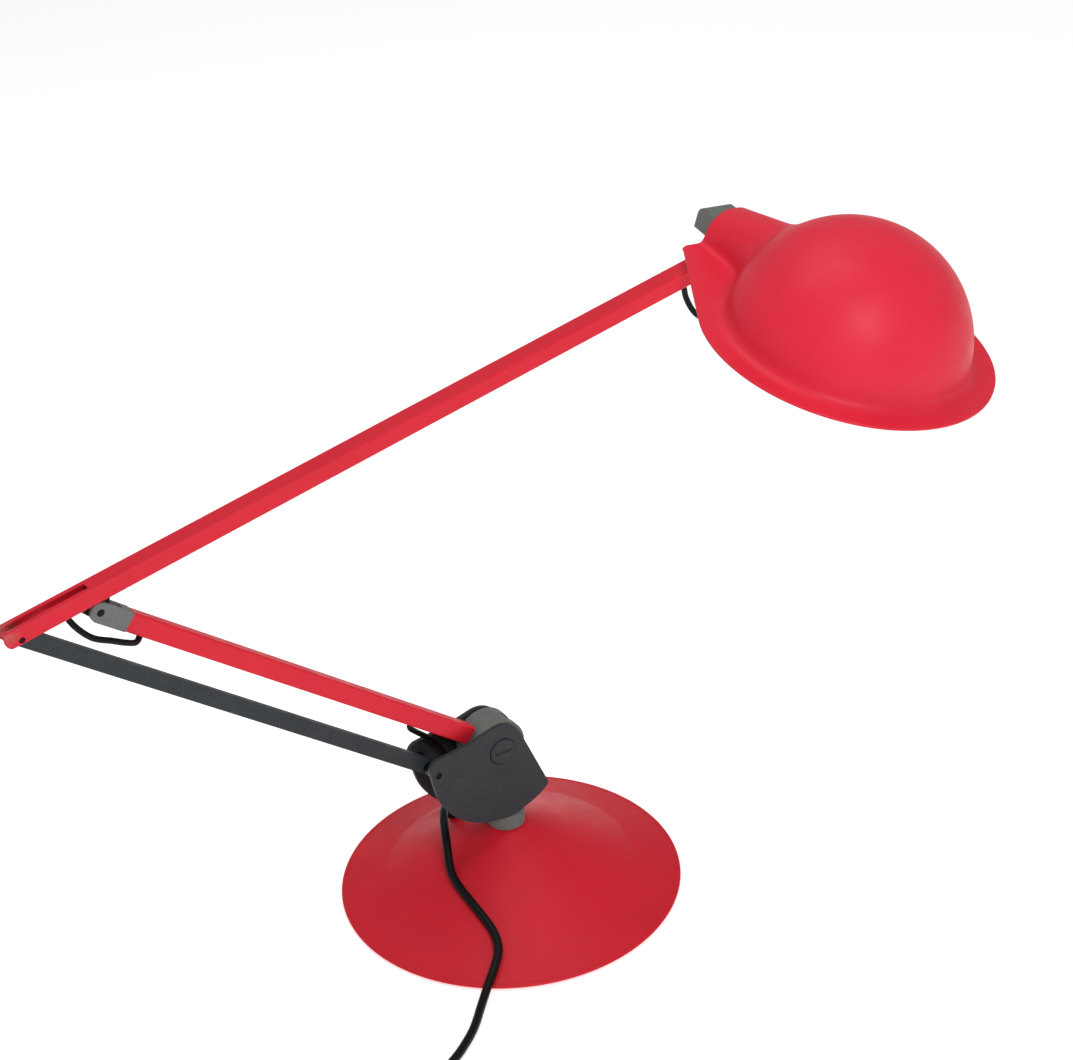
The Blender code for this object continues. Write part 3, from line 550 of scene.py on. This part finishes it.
gland_turn = GLAND_WAY.to_track_quat("Z", "Y").to_matrix().to_4x4()
gland_frame = Matrix.Translation(GLAND_AT * MM) @ gland_turn
gland = turned("cord_boot", [(0, -GLAND_INSIDE), (GLAND_R, -GLAND_INSIDE)]
               + boot_profile(4.0, GLAND_OUTSIDE - 0.3, GLAND_R, 4.1, 4, 0.5)[1:], finish["black_plastic"],
               gland_frame, 48)
hand_over(gland, "cord_gland")
relief = turned("plug_boot", boot_profile(0.0, 20.0, 4.2, 5.2, 5, 0.55), finish["black_plastic"],
                plug_frame, 48)
hand_over(relief, "plug_relief")
plug = refine("plug_body", 0.0022, 4)
for pin in ("plug_pin_left", "plug_pin_right"):
    refine(pin, 0.0008, 3)


def coil_tie():
    """A soft strap round the coil's section, on the side away from the plug."""
    swing = math.radians(-50)
    out = Vector((math.cos(swing), math.sin(swing), 0.0))
    along = Vector((-out.y, out.x, 0.0))
    middle = Vector((COIL_X, COIL_Y, (LAYER_Z[0] + LAYER_Z[1]) / 2)) + out * (OUTER_TURN + INNER_TURN) / 2
    half_w, half_h = (OUTER_TURN - INNER_TURN) / 2 + 3.5, 6.05
    half_strap, thickness, squareness, steps = 5.0, 0.8, 0.35, 40
    bm = bmesh.new()
    rings = []
    for k in range(steps):
        a = 2 * math.pi * k / steps
        c, s = math.cos(a), math.sin(a)
        x = half_w * math.copysign(abs(c) ** squareness, c)
        z = half_h * math.copysign(abs(s) ** squareness, s)
        centre = middle + out * x + Vector((0, 0, z))
        inwards = (out * -c + Vector((0, 0, -s))) * thickness
        section = ((-half_strap, 0), (half_strap, 0), (half_strap, 1), (-half_strap, 1))
        rings.append([bm.verts.new((centre + along * side + inwards * deep) * MM) for side, deep in section])
    for here, there in zip(rings, rings[1:] + rings[:1]):
        for i in range(4):
            j = (i + 1) % 4
            bm.faces.new((here[i], here[j], there[j], there[i]))
    bmesh.ops.recalc_face_normals(bm, faces=bm.faces)
    mesh = bpy.data.meshes.new("coil_tie")
    bm.to_mesh(mesh)
    bm.free()
    smooth_by_angle(mesh, 50)
    tie = add_object("coil_tie", mesh, finish["black_plastic"])
    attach(tie, "root")
    return tie


tie = coil_tie()
hand_over(power_cord, "power_cord", ("cord_coil", "cord_end"))

WIRE_D = 4.0
TAIL_Z = 10.35                 # tail pin above the elbow pin, in the upper arm's frame
ARM_BOTTOM = TAIL_Z - 3.0
ARM_MID = ARM_BOTTOM + 5.5
LOWER_H = 13.0
HEAD_RUN = (head_pivot - elbow).dot(upper_frame.to_3x3() @ Vector((1, 0, 0))) / MM


def inner_cable(name, route, node):
    """A short wire between two bodies that turn on each other, as one mesh in place of its node."""
    curve = cable(name + "_line", smooth_route(route, 1.6), WIRE_D)
    mesh = evaluated(curve)
    bpy.data.objects.remove(curve, do_unlink=True)
    mesh.shade_smooth()
    wire = add_object(name, mesh, finish["black_plastic"])
    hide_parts(node)
    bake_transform(wire)
    return wire


elbow_route = [spot(upper_frame, -18.5, 0, ARM_MID), spot(upper_frame, -18.4, -1.0, ARM_BOTTOM - 3),
               (-282.8, -4.8, 323.6), (-275.5, -6.8, 315.8), (-265.0, -7.4, 310.2),
               (-256.0, -6.6, 304.8), (-248.6, -4.0, 301.0),
               spot(lower_frame, -297.0, 0, -5.6), spot(lower_frame, -295.6, 0, -1.8)]
inner_cable("elbow_wire", elbow_route, "elbow_cable")
knuckle_route = [spot(lower_frame, -72.4, 0, -2.0), spot(lower_frame, -70.8, 0, -LOWER_H / 2 - 2.0),
                 (-61.8, 4.2, 150.6), (-50.6, 6.4, 138.8), (-41.0, 7.2, 124.0), (-32.5, 7.8, 107.0),
                 (-22.5, 8.2, 91.0)]
inner_cable("knuckle_wire", knuckle_route, "knuckle_cable")
post_route = [knuckle_route[-1], (-12.0, 7.8, 77.0), (-7.0, 7.0, 67.0), (-6.4, 6.7, 57.0)]
inner_cable("post_wire", post_route, "knuckle_cable")
head_route = [spot(upper_frame, HEAD_RUN - 42.0, 0, ARM_MID + 1),
              spot(upper_frame, HEAD_RUN - 41.8, 0, ARM_BOTTOM - 3),
              (167.0, -0.4, 400.0), (172.6, -2.4, 388.6), (182.6, -8.0, 380.4), (195.0, -17.0, 378.8),
              (204.4, -25.6, 386.2), (207.6, -30.4, 398.6), spot(shade_frame, 32.8, 0, -6.0),
              spot(shade_frame, 31.5, 0, 3.0), spot(shade_frame, 30.7, 0, 9.2)]
inner_cable("arm_wire", head_route[:6], "head_cable")
inner_cable("holder_wire", head_route[5:], "head_cable")


# ---------------------------------------------------------------- shade
DOME_X, DOME_Z, DOME_R = 118.5, 1.3, 79.0
BRIM_R, SHADE_WALL = 96.8, 1.6
NECK_END, NECK_HALF, NECK_RIDGE, NECK_REACH = -7.7, 20.3, 25.0, 86.0
NECK_CLIMB, NECK_WIDENING, NECK_SPAN = 18.5, 0.5, 60     # the neck's rise and widening over this length
NECK_POWER = 2.5               # how square the neck's cross-section is
EAR_X, EAR_Y, TANGENT_X, TANGENT_Y = -3.2, 39.4, 72.0, 84.6
VOXEL, QUICK_VOXEL = 1.7, 2.4


def ridge_height(x):
    return NECK_RIDGE + (x - NECK_END) * NECK_CLIMB / NECK_SPAN


def soft_min(a, b, k):
    near = np.maximum(k - np.abs(a - b), 0.0) / k
    return np.minimum(a, b) - near * near * k / 4


def shade_field(p):
    """Signed distance to the pressed sheet's outer face: dome, neck and brim run into each other."""
    x, y, z = p[:, 0], p[:, 1], p[:, 2]
    dome = np.sqrt((x - DOME_X) ** 2 + y ** 2 + (z - DOME_Z) ** 2) - DOME_R
    along = np.clip(x, -20.0, NECK_REACH)
    half = NECK_HALF + NECK_WIDENING * (along - NECK_END) / NECK_SPAN
    up = np.maximum(z, 0.0)
    across, upward = np.abs(y) / half, up / ridge_height(along)
    size = (across ** NECK_POWER + upward ** NECK_POWER) ** (1 / NECK_POWER) + 1e-6
    neck = np.hypot(y, up) * (1 - 1 / size)
    neck = np.maximum(np.where(size < 0.05, -half, neck), x - NECK_REACH)
    waist = 13.0 + 15.0 * np.clip((38.0 - z) / 20.0, 0.0, 1.0)
    blend = 4.5 + 4.5 * np.clip((x - 20.0) / 50.0, 0.0, 1.0)
    return soft_min(soft_min(dome, neck, waist), z - SHADE_WALL, blend)


def field_slope(p, step=0.05):
    parts = []
    for axis in range(3):
        shift = np.zeros(3)
        shift[axis] = step
        parts.append((shade_field(p + shift) - shade_field(p - shift)) / (2 * step))
    return np.stack(parts, axis=1)


def keyhole_prism():
    """The plan outline of brim and neck flange, as a tall closed prism."""
    first = math.atan2(TANGENT_Y, TANGENT_X - DOME_X)
    outline = []
    steps = 180
    for k in range(steps + 1):
        a = first - 2 * first * k / steps
        outline.append((DOME_X + BRIM_R * math.cos(a), BRIM_R * math.sin(a)))
    corner = [(EAR_X, -EAR_Y), (EAR_X - 2.6, -EAR_Y + 1.0), (NECK_END, -EAR_Y + 5.0)]
    outline = outline + corner + [(x, -y) for x, y in reversed(corner)]
    bm = bmesh.new()
    low = [bm.verts.new((x, y, -6.0)) for x, y in outline]
    high = [bm.verts.new((x, y, 95.0)) for x, y in outline]
    bm.faces.new(low)
    bm.faces.new(list(reversed(high)))
    for i in range(len(outline)):
        j = (i + 1) % len(outline)
        bm.faces.new((low[i], low[j], high[j], high[i]))
    bmesh.ops.recalc_face_normals(bm, faces=bm.faces)
    mesh = bpy.data.meshes.new("keyhole")
    bm.to_mesh(mesh)
    bm.free()
    obj = bpy.data.objects.new("keyhole", mesh)
    bpy.context.scene.collection.objects.link(obj)
    return obj


def rough_shade():
    """Overlapping closed shapes that cover the shade's outer face, for the remesh."""
    bm = bmesh.new()
    bmesh.ops.create_uvsphere(bm, u_segments=64, v_segments=32, radius=DOME_R + 0.6,
                              matrix=Matrix.Translation((DOME_X, 0, DOME_Z)))
    bmesh.ops.create_cube(bm, size=1.0, matrix=Matrix.Translation((102.0, 0, -4.5))
                          @ Matrix.Diagonal((238.0, 206.0, 13.0, 1.0)))
    sections = []
    for x in (NECK_END - 8, 30.0, NECK_REACH):
        half, rise = NECK_HALF + 1, ridge_height(x) + 2
        arch = [(half * math.cos(math.pi * i / 20), rise * math.sin(math.pi * i / 20)) for i in range(21)]
        sections.append([bm.verts.new((x, y, z)) for y, z in [(NECK_HALF, -5)] + arch + [(-NECK_HALF, -5)]])
    bm.faces.new(sections[0])
    bm.faces.new(list(reversed(sections[-1])))
    for here, there in zip(sections, sections[1:]):
        for i in range(len(here)):
            j = (i + 1) % len(here)
            bm.faces.new((here[i], here[j], there[j], there[i]))
    bmesh.ops.recalc_face_normals(bm, faces=bm.faces)
    mesh = bpy.data.meshes.new("rough_shade")
    bm.to_mesh(mesh)
    bm.free()
    obj = bpy.data.objects.new("rough_shade", mesh)
    bpy.context.scene.collection.objects.link(obj)
    return obj


def settle(mesh):
    """Every point near the sheet's outer face is drawn onto it."""
    p = np.empty(len(mesh.vertices) * 3)
    mesh.vertices.foreach_get("co", p)
    p = p.reshape(-1, 3)
    near = np.abs(shade_field(p)) < 9.0
    for _ in range(8):
        q = p[near]
        f, g = shade_field(q), field_slope(q)
        p[near] = q - g * (f / np.maximum((g * g).sum(1), 0.2))[:, None]
    mesh.vertices.foreach_set("co", p.ravel())
    mesh.update()


def make_shade():
    rough = rough_shade()
    voxels = rough.modifiers.new("voxels", "REMESH")
    voxels.mode = "VOXEL"
    voxels.voxel_size = VOXEL
    solid = evaluated(rough)
    settle(solid)
    body = bpy.data.objects.new("shade_body", solid)
    bpy.context.scene.collection.objects.link(body)
    trim = keyhole_prism()
    cut = body.modifiers.new("trim", "BOOLEAN")
    cut.operation = "INTERSECT"
    cut.object = trim
    mesh = evaluated(body)
    for spare in (rough, body, trim):
        bpy.data.objects.remove(spare, do_unlink=True)
    bm = bmesh.new()
    bm.from_mesh(mesh)
    bmesh.ops.remove_doubles(bm, verts=bm.verts, dist=0.02)
    bm.normal_update()
    middles = np.array([f.calc_center_median() for f in bm.faces])
    normals = np.array([f.normal for f in bm.faces])
    slopes = field_slope(middles)
    on_sheet = (np.abs(shade_field(middles)) < 0.8) & ((normals * slopes).sum(1) > 0.4)
    away = [f for f, keep in zip(bm.faces, on_sheet) if not keep]
    bmesh.ops.delete(bm, geom=away, context="FACES")
    bmesh.ops.transform(bm, matrix=shade_frame @ Matrix.Scale(MM, 4), verts=bm.verts)
    sheet = bpy.data.meshes.new("pressed_shade")
    bm.to_mesh(sheet)
    bm.free()
    smooth_by_angle(sheet, 50)
    shade = add_object("pressed_shade", sheet, finish["red_paint"])
    sheet.materials.append(shade_inside)
    wall = shade.modifiers.new("wall", "SOLIDIFY")
    wall.thickness = SHADE_WALL * MM
    wall.offset = -1.0
    wall.use_even_offset = True
    wall.material_offset = 1
    wall.material_offset_rim = 0
    return hand_over(shade, "shade_shell")


make_shade()


# ---------------------------------------------------------------- base
def make_base():
    sheet, bore, mid_slope = 1.6, 6.4, 52.0
    outside = [(bore, CONE_Z), (CONE_R, CONE_Z), (mid_slope, slope(mid_slope)), (CREASE_R, CREASE_Z),
               (RIM_R, RIM_Z), (119.0, 3.4), (120.0, 2.6), (119.6, 1.8), (118.2, 1.8)]
    inside = [(115.4, 2.5), (CREASE_R - 0.6, CREASE_Z - sheet), (CONE_R - 0.8, CONE_Z - sheet),
              (bore, CONE_Z - sheet)]
    base = turned("pressed_base", rounded(outside + inside, 2.4, 5), base_red, steps=180, degrees=60)
    hole_r = GLAND_R + 0.3
    hole = turned("boot_hole", [(0, -15.0), (hole_r, -15.0), (hole_r, 30.0), (0, 30.0)], base_red,
                  gland_frame, 48)
    cut = base.modifiers.new("boot_hole", "BOOLEAN")
    cut.operation = "DIFFERENCE"
    cut.object = hole
    mesh = evaluated(base)
    bpy.data.objects.remove(base, do_unlink=True)
    bpy.data.objects.remove(hole, do_unlink=True)
    base = add_object("pressed_base", mesh, base_red)
    return hand_over(base, "base_shell")


make_base()

# ---------------------------------------------------------------- bulb
holder_turn = shade_turn @ Matrix.Rotation(math.radians(82), 4, "Y")
holder_frame = Matrix.Translation(spot(shade_frame, 20.5, 0, 17.0) * MM) @ holder_turn


def make_bulb():
    thread = [(0, 19.0), (3.0, 19.0), (5.6, 21.6)]
    for k in range(49):
        t = k / 48
        thread.append((6.6 + 0.35 * math.sin(2 * math.pi * 6 * t), 22.4 + 17.0 * t))
    thread += [(6.9, 40.5), (0, 40.5)]
    hand_over(turned("screw_cap", thread, finish["brass"], holder_frame, 64), "bulb_cap")
    radius, middle = 22.5, 66.0
    start = math.radians(28)
    globe = [(radius * math.sin(a), middle - radius * math.cos(a))
             for a in [start + (math.pi - start) * i / 40 for i in range(40)]]
    neck = [(0, 40.8), (7.6, 40.8), (8.0, 43.0)]
    profile = neck + globe + [(0, middle + radius)]
    hand_over(turned("globe", profile, finish["glass"], holder_frame, 96), "bulb_glass")


make_bulb()

# ---------------------------------------------------------------- the rest: rounded copies of the CAD
edges = {
    "near_cheek": (0.0009, 3), "far_cheek": (0.0009, 3), "knuckle_bridge": (0.0008, 3),
    "lower_arm_inner_end": (0.0012, 3), "lower_arm_fork": (0.0009, 3), "lower_arm_tube": (0.0005, 3),
    "upper_arm_tube": (0.0005, 3), "parallel_bar": (0.0009, 3), "arm_end_fork": (0.0009, 3),
    "elbow_lug": (0.0007, 3), "neck_block": (0.0024, 4), "swivel_post": (0.0008, 3),
    "tension_screw": (0.0004, 3), "switch_rocker": (0.0006, 3), "lamp_holder": (0.0008, 3),
}
special = {"upper_arm_tube": tail_red, "lower_arm_tube": arm_red, "elbow_pin": pin_black,
           "tail_pin": pin_black, "bar_pin": pin_black, "tilt_pin": pin_black}
taken = {"shade_shell", "base_shell", "bulb_cap", "bulb_glass", "cord_gland", "power_cord", "cord_coil",
         "cord_end", "plug_relief", "plug_body", "plug_pin_left", "plug_pin_right", "elbow_cable",
         "knuckle_cable", "head_cable"}
for node in sorted(set(nodes) - taken):
    width, segments = edges.get(node, (0.0003, 2))
    refine(node, width, segments, special.get(node))


# ---------------------------------------------------------------- floor and light
def make_floor():
    bm = bmesh.new()
    bmesh.ops.create_grid(bm, x_segments=1, y_segments=1, size=6.0)
    mesh = bpy.data.meshes.new("floor")
    bm.to_mesh(mesh)
    bm.free()
    s = Shader("pale_floor")
    s.colour(s.blend(s.noise(3.0), (0.90, 0.90, 0.90), (0.92, 0.92, 0.92)))
    s.value("Roughness", 0.9)
    s.value("Specular IOR Level", 0.0)
    s.value("Emission Color", (1.0, 1.0, 1.0, 1.0))
    s.value("Emission Strength", 0.50)
    add_object("floor", mesh, s.mat)


def area_light(name, place, target, size, power):
    data = bpy.data.lights.new(name, "AREA")
    data.shape = "DISK"
    data.size = size
    data.energy = power
    light = bpy.data.objects.new(name, data)
    bpy.context.scene.collection.objects.link(light)
    way = Vector(target) - Vector(place)
    light.matrix_world = Matrix.Translation(place) @ way.to_track_quat("-Z", "Y").to_matrix().to_4x4()


make_floor()
area_light("key", (-0.35, -1.75, 1.85), (0.05, 0.0, 0.2), 0.8, 21.5)
area_light("top", (0.0, 0.3, 2.2), (0.0, 0.0, 0.2), 1.6, 12.0)
world = bpy.data.worlds.new("studio")
world.use_nodes = True
world.node_tree.nodes["Background"].inputs["Color"].default_value = (1.0, 1.0, 1.0, 1.0)
world.node_tree.nodes["Background"].inputs["Strength"].default_value = 0.38
bpy.context.scene.world = world
bpy.context.scene.view_settings.view_transform = "Standard"
